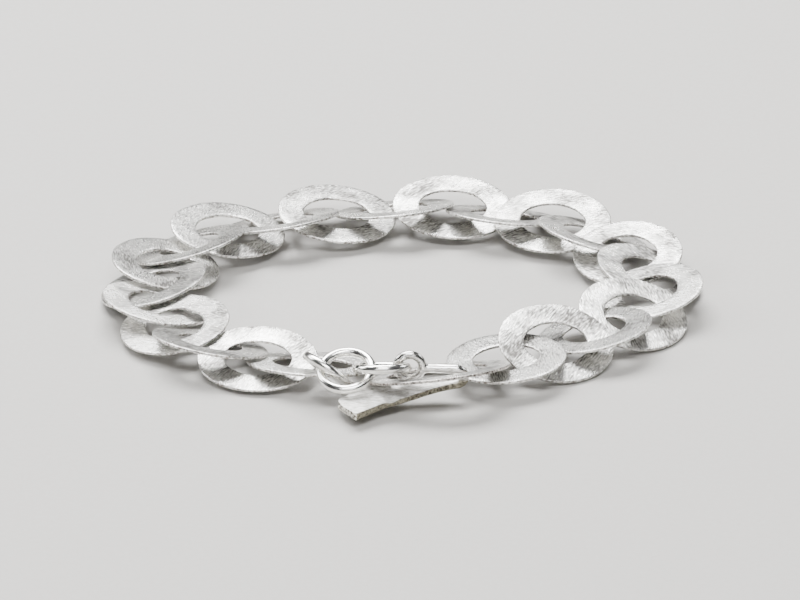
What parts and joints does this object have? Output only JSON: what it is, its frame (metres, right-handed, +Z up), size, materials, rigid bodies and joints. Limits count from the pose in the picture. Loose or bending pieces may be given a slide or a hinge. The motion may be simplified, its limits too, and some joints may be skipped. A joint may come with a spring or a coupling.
{
  "type": "bracelet",
  "caption": "Chain bracelet of flat oval silver rings linked through each other, closed by a forged hook with a flared tongue and round jump rings, lying on its side.",
  "frame": {"origin": "middle of the whole's bounding box, on the surface that it lies on", "axes": "+X right along the front, from the clasp's ring end towards the first links; +Y from the clasp at the front to the back of the loop; +Z up"},
  "size_m": [0.0738, 0.0672, 0.0069],
  "materials": {
    "brushed_silver": "silver sheet, scratch-brushed to a matt grain",
    "polished_silver": "round silver wire, polished",
    "forged_silver": "silver bar, forged and satin finished"
  },
  "bodies": {
    "root": {"catch_link": "brushed_silver", "link_01": "brushed_silver", "link_02": "brushed_silver", "link_03": "brushed_silver", "link_04": "brushed_silver", "link_05": "brushed_silver", "link_06": "brushed_silver", "link_07": "brushed_silver", "link_08": "brushed_silver", "link_09": "brushed_silver", "link_10": "brushed_silver", "link_11": "brushed_silver", "link_12": "brushed_silver", "link_13": "brushed_silver", "link_14": "brushed_silver", "link_15": "brushed_silver", "link_16": "brushed_silver", "link_17": "brushed_silver", "link_18": "brushed_silver", "link_19": "brushed_silver", "link_20": "brushed_silver", "link_21": "brushed_silver", "link_22": "brushed_silver", "end_link": "brushed_silver", "jump_ring_1": "polished_silver", "jump_ring_2": "polished_silver", "jump_ring_3": "polished_silver", "hook": "forged_silver"}
  },
  "joints": []
}
